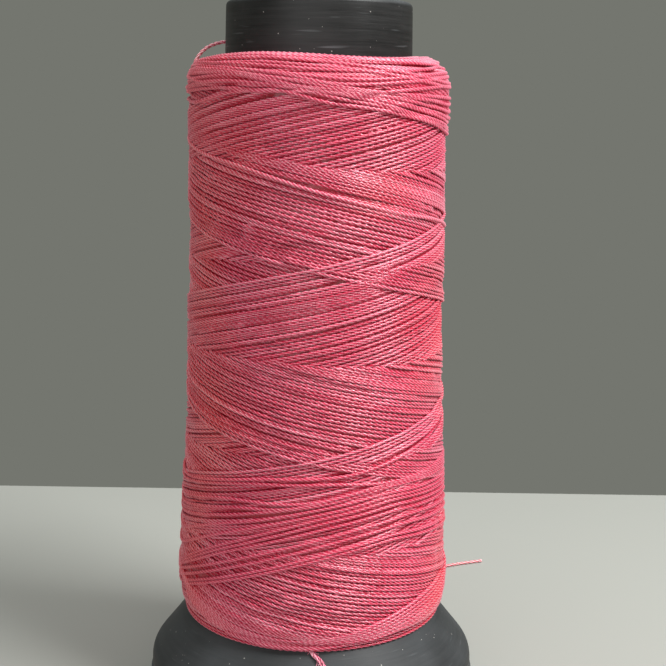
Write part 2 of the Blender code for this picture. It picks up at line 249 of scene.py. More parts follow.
RUNNING_END_RING = TWIST_PITCH / 12
LOOSE_END_SIDES = 4
ROUTE_STEPS = 24
START_TAIL_OUT = (0.6, 1.8, 2.9, 3.8, 4.8)
START_TAIL_ANGLES = (-0.075, -0.040, 0.022, 0.088, 0.112)
START_TAIL_STEP = 0.12 * MM
START_TAIL_TURNS = 2.1
START_TAIL_UNTWIST = 0.5
START_TAIL_OPENING = 0.22 * MM
START_TAIL_FLATNESS = 0.8
START_PLY_WIDTH = 0.56 * THREAD_DIAMETER
START_PLY_DEPTH = 0.12
START_PLY_PITCH = 0.6 * TWIST_PITCH
START_PLY_RING = TWIST_PITCH / 24
FRAY_FIBRES = 7
FRAY_POINTS = 9
FRAY_ASIDE = 0.6
FRAY_UPWARD = 0.5
FRAY_LENGTHS = (0.5, 1.3)
FRAY_RING = 0.12 * MM
FRAY_SIDES = 2

# Camera, fitted to the outlines in the photograph
CAMERA_DISTANCE = 180.0 * MM
CAMERA_HEIGHT = 87.0 * MM
CAMERA_ASIDE = 2.56 * MM
CAMERA_PITCH = math.radians(10.5)
CAMERA_ROLL = math.radians(0.85)
CAMERA_LENS = 67.6
SENSOR_WIDTH = 36.0
CLIP_START = 0.01

# Stage: its sheets, and lamps as (name, place, size, power)
STAGE_REACH = 1.5
FLOOR_BACK = 0.093
FLOOR_COLOUR = "#aaaca5"
BACKDROP = "#74766f"
LAMPS = (
    ("key", (0.32, -0.17, 0.43), 0.24, 3.5),
    ("fill", (-0.16, -0.50, 0.05), 0.45, 0.95),
    ("top", (-0.02, -0.04, 0.60), 0.50, 1.4),
)
LAMP_AIM = (0.0, 0.0, 0.05)
SKY_COLOUR = "#e9ebe8"
SKY_STRENGTH = 0.32


def linear(code):
    """An sRGB hex colour as linear RGBA."""
    values = [int(code[i:i + 2], 16) / 255 for i in (1, 3, 5)]
    return [v / 12.92 if v <= 0.04045 else ((v + 0.055) / 1.055) ** 2.4 for v in values] + [1.0]


def add(tree, kind, inputs=None, **settings):
    """One node with its settings; an input is a value or another node's socket."""
    node = tree.nodes.new(kind)
    for name, value in settings.items():
        setattr(node, name, value)
    for name, value in (inputs or {}).items():
        if isinstance(value, bpy.types.NodeSocket):
            tree.links.new(value, node.inputs[name])
        else:
            node.inputs[name].default_value = value
    return node


def new_material(name):
    """A node material with its tree and its shader."""
    material = bpy.data.materials.new(name)
    material.use_nodes = True
    tree = material.node_tree
    return material, tree, tree.nodes["Principled BSDF"]


def ramp(tree, factor, stops):
    """A colour ramp's colour output, from (position, hex colour) stops."""
    stops = list(stops)
    node = add(tree, "ShaderNodeValToRGB", {0: factor})
    elements = node.color_ramp.elements
    while len(elements) < len(stops):
        elements.new(0.5)
    for element, (position, code) in zip(elements, stops):
        element.position = position
        element.color = linear(code)
    return node.outputs[0]


def scaled(tree, value, factor, offset, clamp=False):
    """A value times a factor, plus an offset that may be another node's socket."""
    return add(tree, "ShaderNodeMath", {0: value, 1: factor, 2: offset},
               operation="MULTIPLY_ADD", use_clamp=clamp).outputs[0]


def blended(tree, factor, first, second):
    """Two colours mixed by a factor."""
    return add(tree, "ShaderNodeMix", {0: factor, 6: first, 7: second}, data_type="RGBA").outputs[2]


def noise(tree, place, size, detail, **more):
    """Noise with blotches of about a size."""
    return add(tree, "ShaderNodeTexNoise",
               {"Vector": place, "Scale": 1 / size, "Detail": detail, **more}).outputs[0]


def moulded_polystyrene(name, stops, line_depth):
    """Black polystyrene from a turned steel mould: a dull satin skin that keeps the mould's fine level
    lines, with slanting scuffs, a grey film where dust settles on what faces up, and pale specks."""
    material, tree, shader = new_material(name)
    place = add(tree, "ShaderNodeTexCoord").outputs["Object"]
    level = add(tree, "ShaderNodeVectorMath", {0: place, 1: (0.04, 0.04, 1.0)}, operation="MULTIPLY")
    lines = noise(tree, level.outputs[0], 0.4 * MM, 4.0, Roughness=0.65)
    cloud = noise(tree, place, 9 * MM, 4.0)
    tone = scaled(tree, lines, 1.0, scaled(tree, cloud, 0.7, -0.35))
    body = ramp(tree, tone, stops)
    normal = add(tree, "ShaderNodeNewGeometry").outputs["Normal"]
    facing = add(tree, "ShaderNodeSeparateXYZ", {0: normal})
    settled = add(tree, "ShaderNodeMath", {0: facing.outputs[2], 1: cloud},
                  operation="MULTIPLY", use_clamp=True).outputs[0]
    film = blended(tree, settled, body, linear("#565b5e"))
    slant = add(tree, "ShaderNodeMapping",
                {0: place, "Rotation": (0.0, 0.7, 0.0), "Scale": (0.07, 0.07, 1.0)})
    scuff = noise(tree, slant.outputs[0], 0.5 * MM, 1.0)
    marked = blended(tree, scaled(tree, scuff, 4.0, -2.7, clamp=True), film, linear("#6c7173"))
    grit = add(tree, "ShaderNodeTexVoronoi",
               {"Vector": place, "Scale": 1 / (1.0 * MM), "Randomness": 1.0}).outputs
    chance = add(tree, "ShaderNodeSeparateColor", {0: grit["Color"]}).outputs[0]
    size = scaled(tree, chance, 0.16, -0.05)
    speck = add(tree, "ShaderNodeMath", {0: grit["Distance"], 1: size}, operation="LESS_THAN").outputs[0]
    dusty = blended(tree, speck, marked, linear("#9a9994"))
    tree.links.new(dusty, shader.inputs["Base Color"])
    rough = scaled(tree, settled, 0.5, scaled(tree, cloud, 0.22, 0.34))
    tree.links.new(rough, shader.inputs["Roughness"])
    bump = add(tree, "ShaderNodeBump", {"Height": lines, "Distance": line_depth, "Strength": 0.6})
    tree.links.new(bump.outputs[0], shader.inputs["Normal"])
    shader.inputs["IOR"].default_value = 1.55
    shader.inputs["Specular IOR Level"].default_value = 0.38
    return material


def waxed_thread(name, cool, warm):
    """Dyed polyester thread of three plies, drawn through wax, with a broken gloss and a soft pink
    sheen. Its colour
    carries painted light: a painted highlight on the ply crowns, painted shade between the plies and in
    the gaps between threads. The dye drifts from a cool pink to a warmer coral, and runs warmer towards
    both sides of the front, most of all on the left."""
    material, tree, shader = new_material(name)
    place = add(tree, "ShaderNodeTexCoord").outputs["Object"]
    ply = add(tree, "ShaderNodeAttribute", attribute_name="ply").outputs["Fac"]
    lot = add(tree, "ShaderNodeAttribute", attribute_name="lot").outputs["Fac"]
    # Depth below the winding's face, which the colour turns into painted shade in the gaps.
    sunk = add(tree, "ShaderNodeAttribute", attribute_name="sunk").outputs["Fac"]
    wax = noise(tree, place, 5 * MM, 3.0)
    fine = noise(tree, place, 0.35 * MM, 2.0)
    # Pale on the ply crowns and deep in the ply valleys: a painted highlight and painted shade.
    painted_ply_light = scaled(tree, ply, 0.62, -0.05)
    # Darker where a point lies below the winding's face: painted shade in the gaps between threads.
    painted_gap_shade = scaled(tree, sunk, -0.34, painted_ply_light)
    dye = scaled(tree, lot, 0.20, painted_gap_shade)
    haze = scaled(tree, wax, 0.22, dye)
    grain = scaled(tree, fine, 0.18, haze)
    stops = (0.22, 0.52, 0.90)
    pink = ramp(tree, grain, zip(stops, cool))
    coral = ramp(tree, grain, zip(stops, warm))
    drift = noise(tree, place, 22 * MM, 1.0)
    # Warmer towards both sides of the front, most of all on the left, and coolest a little right of the
    # middle.
    across = add(tree, "ShaderNodeSeparateXYZ", {0: place}).outputs[0]
    off = add(tree, "ShaderNodeMath", {0: across, 1: COOLEST_SHIFT}, operation="SUBTRACT").outputs[0]
    sides = add(tree, "ShaderNodeMath", {0: off, 1: off}, operation="MULTIPLY").outputs[0]
    side_warmth = scaled(tree, sides, 0.9 / WAIST_RADIUS ** 2, -1.75)
    warmth = scaled(tree, drift, 3.0, side_warmth, clamp=True)
    tree.links.new(blended(tree, warmth, pink, coral), shader.inputs["Base Color"])
    tree.links.new(scaled(tree, fine, 0.22, 0.16), shader.inputs["Roughness"])
    shader.inputs["IOR"].default_value = 1.5
    shader.inputs["Specular IOR Level"].default_value = 0.6
    shader.inputs["Sheen Weight"].default_value = 0.5
    shader.inputs["Sheen Roughness"].default_value = 0.45
    shader.inputs["Sheen Tint"].default_value = linear("#ff9db8")
    return material


def plain_paper(name, code):
    """Matt studio paper, with the faint tooth that keeps it from looking like a render's void."""
    material, tree, shader = new_material(name)
    place = add(tree, "ShaderNodeTexCoord").outputs["Object"]
    tooth = noise(tree, place, 1.2 * MM, 2.0)
    bump = add(tree, "ShaderNodeBump", {"Height": tooth, "Distance": 0.02 * MM, "Strength": 0.3})
    tree.links.new(bump.outputs[0], shader.inputs["Normal"])
    shader.inputs["Base Color"].default_value = linear(code)
    shader.inputs["Roughness"].default_value = 0.8
    return material


def shown_evenly(tree, output, light, code):
    """Let straight views and reflections see one even colour, and other light the surface itself."""
    is_world = output.bl_idname == "ShaderNodeOutputWorld"
    kind = "ShaderNodeBackground" if is_world else "ShaderNodeEmission"
    even = add(tree, kind, {"Color": linear(code), "Strength": 1.0})
    ray = add(tree, "ShaderNodeLightPath").outputs
    seen = add(tree, "ShaderNodeMath", {0: ray["Is Camera Ray"], 1: ray["Is Glossy Ray"]},
               operation="ADD")
    shown = add(tree, "ShaderNodeMath", {0: seen.outputs[0], 1: ray["Is Transmission Ray"]},
                operation="ADD", use_clamp=True)
    mixed = add(tree, "ShaderNodeMixShader",
                {0: shown.outputs[0], 1: light.outputs[0], 2: even.outputs[0]})
    tree.links.new(mixed.outputs[0], output.inputs["Surface"])


def link_mesh(name, mesh, material, body):
    """A finished mesh as a piece of the object, riding on a body."""
    mesh.materials.clear()
    mesh.materials.append(material)
    piece = bpy.data.objects.new(name, mesh)
    bpy.context.scene.collection.objects.link(piece)
    if body:
        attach(piece, body)
    return piece


def barrel_radius(z):
    """Outer radius of the tapered barrel at a height."""
    return BARREL_TOP_RADIUS + (SPOOL_TOP - z) * math.tan(BARREL_TAPER)


BELL_ARC_HEIGHT = BELL_FOOT + BELL_SKIRT
BELL_ARC_CENTRE = BELL_RADIUS - BELL_SHOULDER
BELL_NORMAL = QUARTER - BELL_SLOPE


def bell_height(radius, inset=0.0):
    """Height of the bell's cone at a radius, on a surface sunk by inset along its normal."""
    shoulder = BELL_SHOULDER - inset
    edge = BELL_ARC_CENTRE + shoulder * math.cos(BELL_NORMAL)
    return BELL_ARC_HEIGHT + shoulder * math.sin(BELL_NORMAL) + (edge - radius) * math.tan(BELL_SLOPE)


def arc(centre_r, centre_z, radius, start, end, steps=8):
    """Points of a profile's arc, from one angle to another."""
    angles = [start + (end - start) * step / steps for step in range(steps + 1)]
    return [(centre_r + radius * math.cos(a), centre_z + radius * math.sin(a)) for a in angles]


def turned_mesh(name, profile):
    """Spin a closed profile of (radius, height) points about the spool's axis."""
    form = bmesh.new()
    corners = [form.verts.new((radius, 0.0, height)) for radius, height in profile]
    edges = [form.edges.new((a, b)) for a, b in zip(corners, corners[1:] + corners[:1])]
    bmesh.ops.spin(form, geom=corners + edges, cent=(0, 0, 0), axis=(0, 0, 1),
                   angle=math.tau, steps=TURNED_STEPS, use_merge=True)
    bmesh.ops.recalc_face_normals(form, faces=form.faces)
    mesh = bpy.data.meshes.new(name)
    form.to_mesh(mesh)
    form.free()
    mesh.shade_smooth()
    mesh.set_sharp_from_angle(angle=SHARP_ANGLE)
    return mesh


def spool_body(material):
    """Barrel, top web and bell in one moulding, with its rounded lip and rim."""
    web_top = SPOOL_TOP - WEB_DEPTH
    web_under = web_top - WEB_THICKNESS
    lip = BARREL_TOP_RADIUS - LIP_RADIUS
    inner_lip = BARREL_TOP_RADIUS - BARREL_WALL
    meets = BELL_ARC_HEIGHT
    for _ in range(40):
        meets = bell_height(barrel_radius(meets))
    stem = barrel_radius(meets)
    profile = arc(inner_lip + LIP_RADIUS, SPOOL_TOP - LIP_RADIUS, LIP_RADIUS, 2 * QUARTER, QUARTER)
    profile += arc(lip, SPOOL_TOP - LIP_RADIUS, LIP_RADIUS, QUARTER, 0.0)
    profile += [(barrel_radius(z), z) for z in np.linspace(SPOOL_TOP - 2 * LIP_RADIUS, meets, 12)]
    profile += arc(BELL_ARC_CENTRE, BELL_ARC_HEIGHT, BELL_SHOULDER, BELL_NORMAL, 0.0)
    profile += arc(BELL_RADIUS - EDGE_ROUND, BELL_FOOT + EDGE_ROUND, EDGE_ROUND, 0.0, -QUARTER)
    profile.append((BELL_RADIUS - BELL_WALL, BELL_FOOT))
    profile += arc(BELL_ARC_CENTRE, BELL_ARC_HEIGHT, BELL_SHOULDER - BELL_WALL, 0.0, BELL_NORMAL)
    profile.append((stem, bell_height(stem, BELL_WALL)))
    profile.append((stem, BELL_FOOT))
    profile.append((stem - BARREL_WALL, BELL_FOOT))
    profile.append((barrel_radius(web_under) - BARREL_WALL, web_under))
    hole = SPINDLE_HOLE_RADIUS + EDGE_ROUND
    profile += arc(hole, web_under + EDGE_ROUND, EDGE_ROUND, 3 * QUARTER, 2 * QUARTER)
    profile += arc(hole, web_top - EDGE_ROUND, EDGE_ROUND, 2 * QUARTER, QUARTER)
    profile.append((inner_lip, web_top))
    piece = link_mesh("spool_moulding", turned_mesh("spool_moulding", profile), material, "spool")
    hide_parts("spool_body")


def snap_base(material):
    """Base plate, rim and foot ring, with the split sleeve that snaps into the barrel."""
    inner = SLEEVE_RADIUS - SLEEVE_WALL
    plate_under = RIM_TOP - PLATE_THICKNESS
    foot = RIM_RADIUS - EDGE_ROUND - FOOT_RING
    bead = SLEEVE_TOP - 2 * BEAD_HEIGHT
    profile = [(inner, SLEEVE_TOP), (SLEEVE_RADIUS - EDGE_ROUND, SLEEVE_TOP)]
    profile += arc(SLEEVE_RADIUS, bead - BEAD_HEIGHT, BEAD_HEIGHT, QUARTER, -QUARTER)
    profile.append((SLEEVE_RADIUS, RIM_TOP))
    profile += arc(RIM_RADIUS - EDGE_ROUND, RIM_TOP - EDGE_ROUND, EDGE_ROUND, QUARTER, 0.0)
    profile += arc(RIM_RADIUS - EDGE_ROUND, EDGE_ROUND, EDGE_ROUND, 0.0, -QUARTER)
    profile += [(foot, 0.0), (foot - EDGE_ROUND, plate_under), (inner, plate_under)]
    piece = link_mesh("snap_base_moulding", turned_mesh("snap_base_moulding", profile), material, None)
    reach = 2 * (SLEEVE_RADIUS + 2 * BEAD_HEIGHT)
    for number, turn in enumerate((0.0, QUARTER)):
        form = bmesh.new()
        bmesh.ops.create_cube(form, size=1.0)
        bmesh.ops.scale(form, vec=(reach, SLOT_WIDTH, FINGER_LENGTH), verts=form.verts)
        bmesh.ops.rotate(form, matrix=Matrix.Rotation(turn, 3, "Z"), verts=form.verts)
        middle = SLEEVE_TOP - FINGER_LENGTH / 2 + EDGE_ROUND
        bmesh.ops.translate(form, vec=(0, 0, middle), verts=form.verts)
        mesh = bpy.data.meshes.new("finger_slot")
        form.to_mesh(mesh)
        form.free()
        cutter = bpy.data.objects.new(f"finger_slot_{number}", mesh)
        bpy.context.scene.collection.objects.link(cutter)
        boolean = piece.modifiers.new("slot", "BOOLEAN")
        boolean.object = cutter
    made = evaluated_mesh(piece, "snap_base_moulding")
    for thing in [piece] + [m.object for m in piece.modifiers]:
        bpy.data.objects.remove(thing)
    made.shade_smooth()
    made.set_sharp_from_angle(angle=SHARP_ANGLE)
    piece = link_mesh("snap_base_moulding", made, material, "base")
    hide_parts("snap_base")


def evaluated_mesh(thing, name):
    """A plain mesh of an object as its modifiers leave it."""
    graph = bpy.context.evaluated_depsgraph_get()
    mesh = bpy.data.meshes.new_from_object(thing.evaluated_get(graph))
    mesh.name = name
    return mesh


def package_side(z):
    """Outer radius of the thread package: a rounded shoulder, a straight waist and a swollen foot."""
    z = np.asarray(z, float)
    drop = np.clip((WAIST_HEIGHT - z) / (WAIST_HEIGHT - SWELL_HEIGHT), 0.0, 1.0)
    shoulder = np.clip((z - PACKAGE_TOP + SHOULDER_HEIGHT) / SHOULDER_HEIGHT, 0.0, 1.0)
    foot = np.clip((SWELL_HEIGHT - z) / (SWELL_HEIGHT - FOOT_HEIGHT), 0.0, 1.3)
    rounding = SHOULDER_INSET * (1.0 - np.sqrt(1.0 - shoulder ** 2)) + FOOT_INSET * foot ** 2
    return WAIST_RADIUS + SWELL * drop ** 2 - rounding


CELLS = np.arange(-HALF_CELLS, HALF_CELLS + 1)
LIFT = np.sqrt(np.maximum(LAYER_HALF ** 2 - (CELLS * GRID_STEP) ** 2, 0.0))
GRID_HEIGHTS = GRID_FOOT + GRID_STEP * np.arange(GRID_ROWS)


def grid_cells(angle, height):
    """Rows and columns of the grid under a thread's points."""
    columns = np.round(angle / math.tau * GRID_ANGLES).astype(int) % GRID_ANGLES
    rows = np.round((height - GRID_FOOT) / GRID_STEP).astype(int)
    return np.clip(rows, HALF_CELLS, GRID_ROWS - 1 - HALF_CELLS), columns


def lay_thread(field, angle, height, ceiling):
    """Lay one pass of the thread on what is already wound. It bridges the hollows and stands on the
    crossings, no higher than its tension lets it, and the field then carries it. Gives the radius of
    its centre line."""
    rows, columns = grid_cells(angle, height)
    rest = np.max([field[rows + cell, columns] + lift for cell, lift in zip(CELLS, LIFT)], axis=0)
    rest = np.minimum(rest, ceiling[rows])
    for cell, lift in zip(CELLS, LIFT):
        field[rows + cell, columns] = np.maximum(field[rows + cell, columns], rest + lift)
    padded = np.pad(rest, 2 * BRIDGE_CELLS, mode="edge")
    highest = np.lib.stride_tricks.sliding_window_view(padded, 2 * BRIDGE_CELLS + 1).max(axis=1)
    soft = np.hanning(2 * BRIDGE_CELLS + 3)[1:-1]
    return np.convolve(highest, soft / soft.sum(), mode="valid")


def traverse_share(step):
    """Share of the way down from the top after so many half trips, with rounded reversals."""
    ease = REVERSAL_TURN / (TURNS_THERE_AND_BACK / 2)
    phase = np.mod(step, 2.0)
    share = np.where(phase <= 1.0, phase, 2.0 - phase)
    near = np.minimum(share, 1.0 - share)
    eased = np.where(near < ease, near ** 2 / (2 * ease) + ease / 2, near)
    return np.where(share < 0.5, eased, 1.0 - eased)


def winding_passes():
    """Angle and height of every half trip of the guide, oldest first. Each round trip lies one thread
    beside the last, so the passes build up into bands that cross."""
    random = np.random.default_rng(WINDING_SEED)
    per_half = TURNS_THERE_AND_BACK / 2
    points = round(per_half * GRID_ANGLES)
    halves = 2 * THERE_AND_BACK
    trips = np.arange(halves)
    top = TRAVERSE_TOP - END_WANDER * (1.0 + np.sin(TOP_WANDER_RATE * trips))
    foot = TRAVERSE_FOOT + FOOT_WANDER_SHARE * END_WANDER * (1.0 + np.sin(FOOT_WANDER_RATE * trips))
    passes = []
    for half in range(halves):
        step = half + np.arange(points + 1) / points
        angle = LAST_REVERSAL + math.tau * per_half * (halves - 1 - step)
        share = traverse_share(step + 1)
        upper = top[(half + 1) // 2]
        height = upper + (foot[half // 2] - upper) * share
        drift = random.normal(0, THREAD_WANDER)
        wave = THREAD_WANDER * np.sin(angle * random.uniform(0.6, 1.7) + random.uniform(0, math.tau))
        passes.append((angle, height + drift + wave))
    return passes


def loose_path(turns):
    """Angle and height of turns that follow one another round the package, eased into one curve."""
    places = [(angle - 360 * number, height)
              for number, turn in enumerate(turns) for angle, height in turn]
    angles, heights = np.array(places).T
    steps = np.arange(angles[0], angles[-1], -360 / GRID_ANGLES)
    raw = np.interp(-steps, -angles, heights)
    soft = np.hanning(2 * EASE_CELLS + 1)
    eased = np.convolve(np.pad(raw, EASE_CELLS, mode="edge"), soft / soft.sum(), mode="valid")
    return np.radians(steps), eased * MM


def between(first, last, count):
    """A number of turns, spread evenly from a first to a last one."""
    first, last = np.array(first, float), np.array(last, float)
    return [first + (last - first) * share for share in np.linspace(0.0, 1.0, count)]


def loose_turns():
    """The last turns, which were laid on the package by hand and not by the machine's guide."""
    foot = between(FOOT_TURN_FIRST, FOOT_TURN_LAST, FOOT_TURNS)
    random = np.random.default_rng(WINDING_SEED)
    fill = []
    for height in np.linspace(*SHOULDER_FILL_HEIGHTS, SHOULDER_FILL_TURNS):
        heights = height + random.normal(0, SHOULDER_FILL_WANDER, len(SHOULDER_FILL_ANGLES))
        fill.append(list(zip(SHOULDER_FILL_ANGLES, heights)))
    return [loose_path(turns) for turns in ([STRAY_TURN], foot, LOW_TURNS, fill, SHOULDER_TURNS)]


def shown_stretches(field, bed, angle, height, radius):
    """The stretches of a pass that later passes and the bed leave in sight, as arrays of points."""
    rows, columns = grid_cells(angle, height)
    above = [field[rows + cell, columns] > radius + lift + LAYER_HALF / 2
             for cell, lift in zip(CELLS, LIFT)]
    sunk = bed[rows, columns] > radius + THREAD_WIDTH / 2
    shown = np.convolve(~(np.all(above, axis=0) | sunk), np.ones(SHOWN_CELLS), mode="same") > 0
    edges = np.flatnonzero(np.diff(np.concatenate(([0], shown, [0]))))
    stretches = []
    for start, end in zip(edges[::2], edges[1::2]):
        picks = np.arange(start, end, POINT_EVERY)
        if len(picks) >= FEWEST_POINTS:
            a, z, r = angle[picks], height[picks], radius[picks]
            stretches.append(np.stack((r * np.cos(a), r * np.sin(a), z), axis=1))
    return stretches


def levelled(rise):
    """How far the winding has grown, evened out over the width of a band in both directions."""
    shifts = range(-LEVEL_ALONG, LEVEL_ALONG + 1)
    even = sum(np.roll(rise, shift, axis=1) for shift in shifts) / len(shifts)
    padded = np.pad(even, ((LEVEL_ACROSS, LEVEL_ACROSS), (0, 0)), mode="edge")
    starts = range(2 * LEVEL_ACROSS + 1)
    return sum(padded[row:row + len(rise)] for row in starts) / len(starts)


def spread(field, reach, pick):
    """The highest or the lowest of a field within a reach of cells, in both directions."""
    for axis, mode in ((0, "edge"), (1, "wrap")):
        margin = [(reach, reach) if axis == side else (0, 0) for side in (0, 1)]
        padded = np.pad(field, margin, mode=mode)
        field = pick(np.lib.stride_tricks.sliding_window_view(padded, 2 * reach + 1, axis), axis=-1)
    return field


def end_face():
    """Points of the loose turns on the package's upper end, a spiral out to its shoulder."""
    spiral = np.linspace(0.0, 1.0, END_FACE_TURNS * END_FACE_POINTS)
    angle = math.tau * END_FACE_TURNS * spiral
    out = END_FACE_START + END_FACE_STEP * END_FACE_TURNS * spiral
    radius = barrel_radius(PACKAGE_TOP) + LOOSE_WIDTH * out
    sink = END_FACE_SINK + END_FACE_RIPPLE * np.sin(END_FACE_RIPPLE_RATE * angle)
    wave = END_FACE_WAVE * np.cos(END_FACE_WAVES * angle + END_FACE_WAVE_AT)
    inset = np.clip(1.0 - (WAIST_RADIUS - radius) / SHOULDER_INSET, 0.0, 1.0)
    drop = SHOULDER_HEIGHT * (1.0 - np.sqrt(1.0 - inset ** 2))
    level = PACKAGE_TOP - LOOSE_WIDTH * sink + wave - END_FACE_FALL * drop
    return np.stack((radius * np.cos(angle), radius * np.sin(angle), level), axis=1)


def wound_threads():
    """The visible stretches of machine-wound and of loose thread, the face that they make together, and
    the bed of inner layers under it. The machine's passes are laid again until the ground that they
    start from brings them out level."""
    oldest = loose_path(between(FOOT_FILL_FIRST, FOOT_FILL_LAST, FOOT_FILL_TURNS))
    machine = [oldest] + winding_passes()
    loose = loose_turns()
    target = package_side(GRID_HEIGHTS) - THREAD_WIDTH / 2
    ground = np.repeat(target[:, None] - GROUND_LAYERS * LAYER_HALF, GRID_ANGLES, axis=1)
    for _ in range(LEVELLING_ROUNDS):
        field = ground.copy()
        radii = []
        for number, (angle, height) in enumerate(machine):
            ceiling = target + 2 * LAYER_HALF * (number / len(machine) - FIRST_CEILING)
            radii.append(lay_thread(field, angle, height, ceiling))
        ground = target[:, None] - levelled(field - ground)
    for (angle, height), layers in zip(loose, LOOSE_LAYERS):
        radius = lay_thread(field, angle, height, target + layers * LAYER_HALF)
        steps = np.arange(len(radius))
        tuck = np.clip(1.0 - np.minimum(steps, steps[::-1]) / TUCK_CELLS, 0.0, 1.0)
        radii.append(radius - TUCK_DEPTH * tuck ** 2)
    face = spread(spread(field, GAP_CELLS, np.max), GAP_CELLS, np.min)
    bed = spread(face, BED_ROWS // 2, np.min) - BED_DEPTH
    shown = [shown_stretches(field, bed, angle, height, radius)
             for (angle, height), radius in zip(machine + loose, radii)]
    wound = sum(shown[:len(machine)], [])
    over = sum(shown[len(machine):], []) + [end_face()]
    return wound, over, face, bed


def twist_tree():
    """Geometry Nodes: a path becomes a thread of plies twisted together, one lobe to a ply."""
    tree = bpy.data.node_groups.new("twisted_thread", "GeometryNodeTree")
    face = tree.interface
    face.new_socket("Geometry", in_out="OUTPUT", socket_type="NodeSocketGeometry")
    face.new_socket("Geometry", in_out="INPUT", socket_type="NodeSocketGeometry")
    for name in ("Thread Width", "Ply Depth", "Twist Pitch", "Ring Spacing"):
        face.new_socket(name, in_out="INPUT", socket_type="NodeSocketFloat")
    face.new_socket("Plies", in_out="INPUT", socket_type="NodeSocketInt")
    face.new_socket("Sides Per Ply", in_out="INPUT", socket_type="NodeSocketInt")
    face.new_socket("Material", in_out="INPUT", socket_type="NodeSocketMaterial")
    given = add(tree, "NodeGroupInput").outputs
    path = add(tree, "GeometryNodeResampleCurve",
               {"Curve": given["Geometry"], "Length": given["Ring Spacing"]}, mode="LENGTH")
    along = add(tree, "GeometryNodeSplineParameter").outputs["Length"]
    turns = add(tree, "ShaderNodeMath", {0: along, 1: given["Twist Pitch"]}, operation="DIVIDE")
    tilt = add(tree, "ShaderNodeMath", {0: turns.outputs[0], 1: math.tau}, operation="MULTIPLY")
    twisted = add(tree, "GeometryNodeSetCurveTilt", {"Curve": path.outputs[0], "Tilt": tilt.outputs[0]})
    number = add(tree, "GeometryNodeInputIndex").outputs[0]
    lot = add(tree, "FunctionNodeRandomValue", {"ID": number, "Seed": WINDING_SEED}, data_type="FLOAT")
    dyed = add(tree, "GeometryNodeStoreNamedAttribute",
               {"Geometry": twisted.outputs[0], "Name": "lot", "Value": lot.outputs[1]},
               data_type="FLOAT", domain="CURVE")
    sides = add(tree, "ShaderNodeMath", {0: given["Plies"], 1: given["Sides Per Ply"]},
                operation="MULTIPLY")
    radius = add(tree, "ShaderNodeMath", {0: given["Thread Width"], 1: 0.5}, operation="MULTIPLY")
    ring = add(tree, "GeometryNodeCurvePrimitiveCircle",
               {"Resolution": sides.outputs[0], "Radius": radius.outputs[0]}, mode="RADIUS")
    round_it = add(tree, "GeometryNodeInputIndex").outputs[0]
    side = add(tree, "ShaderNodeMath", {0: round_it, 1: given["Sides Per Ply"]}, operation="DIVIDE")
    phase = add(tree, "ShaderNodeMath", {0: side.outputs[0], 1: math.tau}, operation="MULTIPLY")
    lobe = add(tree, "ShaderNodeMath", {0: phase.outputs[0]}, operation="COSINE")
    share = add(tree, "ShaderNodeMath", {0: lobe.outputs[0], 1: 0.5, 2: 0.5}, operation="MULTIPLY_ADD")
    hollow = add(tree, "ShaderNodeMath", {0: 1.0, 1: share.outputs[0]}, operation="SUBTRACT")
    sunk = add(tree, "ShaderNodeMath", {0: hollow.outputs[0], 1: given["Ply Depth"]},
               operation="MULTIPLY")
    scale = add(tree, "ShaderNodeMath", {0: 1.0, 1: sunk.outputs[0]}, operation="SUBTRACT")
    spot = add(tree, "GeometryNodeInputPosition").outputs[0]
    drawn = add(tree, "ShaderNodeVectorMath", {0: spot, "Scale": scale.outputs[0]}, operation="SCALE")
    section = add(tree, "GeometryNodeSetPosition",
                  {"Geometry": ring.outputs[0], "Position": drawn.outputs[0]})
    marked = add(tree, "GeometryNodeStoreNamedAttribute",
                 {"Geometry": section.outputs[0], "Name": "ply", "Value": share.outputs[0]},
                 data_type="FLOAT", domain="POINT")
    tube = add(tree, "GeometryNodeCurveToMesh",
               {"Curve": dyed.outputs[0], "Profile Curve": marked.outputs[0], "Fill Caps": True})
    smooth = add(tree, "GeometryNodeSetShadeSmooth", {"Geometry": tube.outputs[0]})
    real = add(tree, "GeometryNodeRealizeInstances", {"Geometry": smooth.outputs[0]})
    dressed = add(tree, "GeometryNodeSetMaterial",
                  {"Geometry": real.outputs[0], "Material": given["Material"]})
    add(tree, "NodeGroupOutput", {"Geometry": dressed.outputs[0]})
    return tree


def twisted_mesh(name, tree, stretches, material, width, depth, pitch, spacing, sides):
    """Thread of three twisted plies along each stretch of points, as one plain mesh."""
    curve = bpy.data.curves.new(name, "CURVE")
    curve.dimensions = "3D"
    for points in stretches:
        spline = curve.splines.new("POLY")
        spline.points.add(len(points) - 1)
        flat = np.concatenate((points, np.ones((len(points), 1))), axis=1)
        spline.points.foreach_set("co", flat.ravel())
    path = bpy.data.objects.new(name, curve)
    bpy.context.scene.collection.objects.link(path)
    modifier = path.modifiers.new("twist", "NODES")
    modifier.node_group = tree
    sizes = {"Thread Width": width, "Ply Depth": depth, "Twist Pitch": pitch, "Ring Spacing": spacing,
             "Plies": PLIES, "Sides Per Ply": sides, "Material": material}
    for item in tree.interface.items_tree:
        if item.in_out == "INPUT" and item.name in sizes:
            modifier[item.identifier] = sizes[item.name]
    mesh = evaluated_mesh(path, name)
    bpy.data.objects.remove(path)
    bake_strips(mesh, PLIES * sides)
    return mesh


